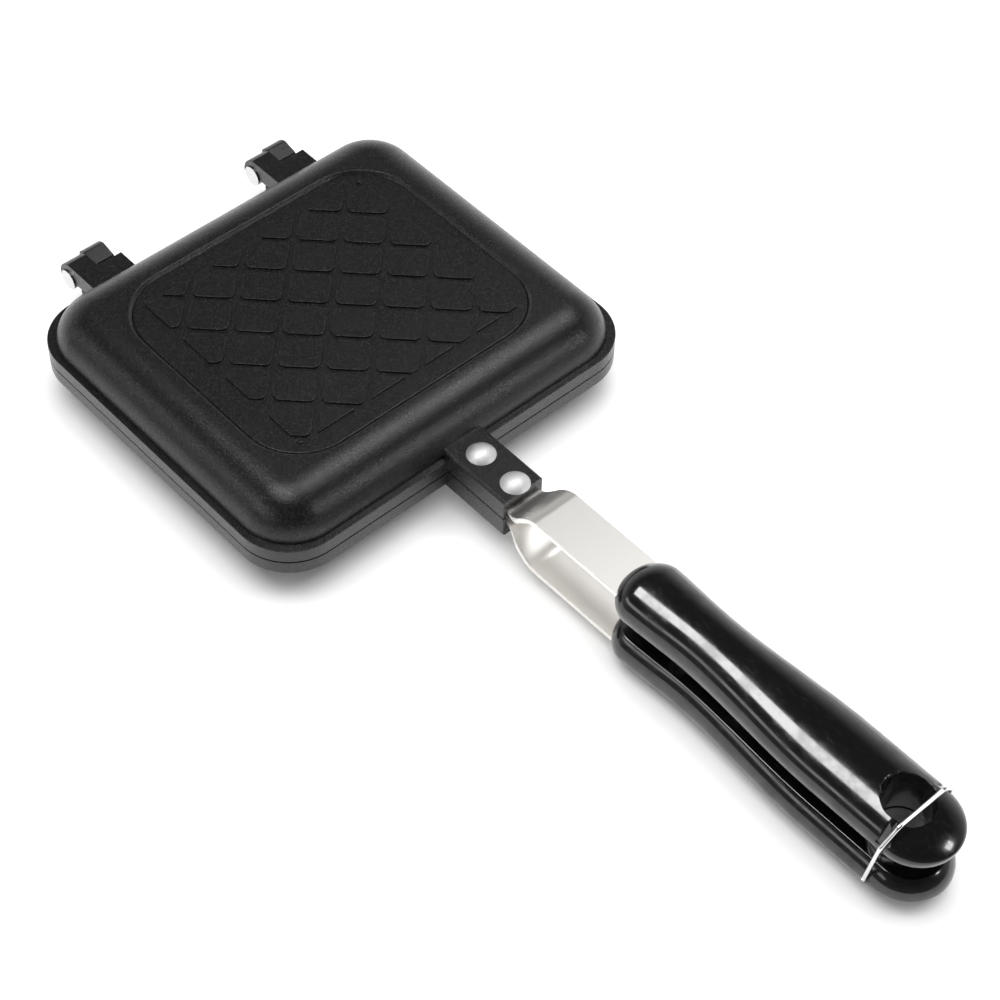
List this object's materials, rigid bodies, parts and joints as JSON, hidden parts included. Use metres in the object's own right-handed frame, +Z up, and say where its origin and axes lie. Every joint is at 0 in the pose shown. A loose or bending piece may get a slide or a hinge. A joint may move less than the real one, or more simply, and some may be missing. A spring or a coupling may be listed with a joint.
{
  "type": "pie iron",
  "caption": "Hinged double-sided sandwich pan with tiled plates, riveted straps, split grip and a wire bail latch.",
  "frame": {"origin": "middle of the object's box in plan, on the plane that the lower plate rests on", "axes": "+X from the plates towards the grips, +Y across the handle, +Z up through the upper plate"},
  "size_m": [0.33, 0.14, 0.034],
  "materials": {
    "coating": "cast aluminium with a black non-stick coating, semi-matte with fine grain",
    "strap_steel": "polished stainless strip",
    "grip_plastic": "moulded phenolic, glossy black",
    "rivet_aluminium": "bare aluminium, satin",
    "pin_steel": "plain steel pin",
    "bail_wire": "bright plated spring wire",
    "screw_steel": "plain steel screw"
  },
  "bodies": {
    "lower_half": {"lower_plate": "coating", "lower_strap": "strap_steel", "lower_grip": "grip_plastic", "lower_rivet_rear": "rivet_aluminium", "lower_rivet_front": "rivet_aluminium", "left_hinge_pin": "pin_steel", "right_hinge_pin": "pin_steel", "lower_screw_front": "screw_steel", "lower_screw_rear": "screw_steel"},
    "upper_half": {"upper_plate": "coating", "upper_strap": "strap_steel", "upper_grip": "grip_plastic", "upper_rivet_rear": "rivet_aluminium", "upper_rivet_front": "rivet_aluminium", "upper_screw_front": "screw_steel", "upper_screw_rear": "screw_steel"},
    "latch": {"wire_bail": "bail_wire"}
  },
  "joints": [
    {"name": "lid_hinge", "type": "hinge", "parent": "lower_half", "child": "upper_half", "pos_m": [-0.15926, 0, 0.017], "axis": [0, -1, 0], "range_deg": [0, 180]},
    {"name": "bail_pivot", "type": "hinge", "parent": "lower_half", "child": "latch", "pos_m": [0.14924, 0, 0.009], "axis": [0, 1, 0], "range_deg": [0, 90]}
  ]
}
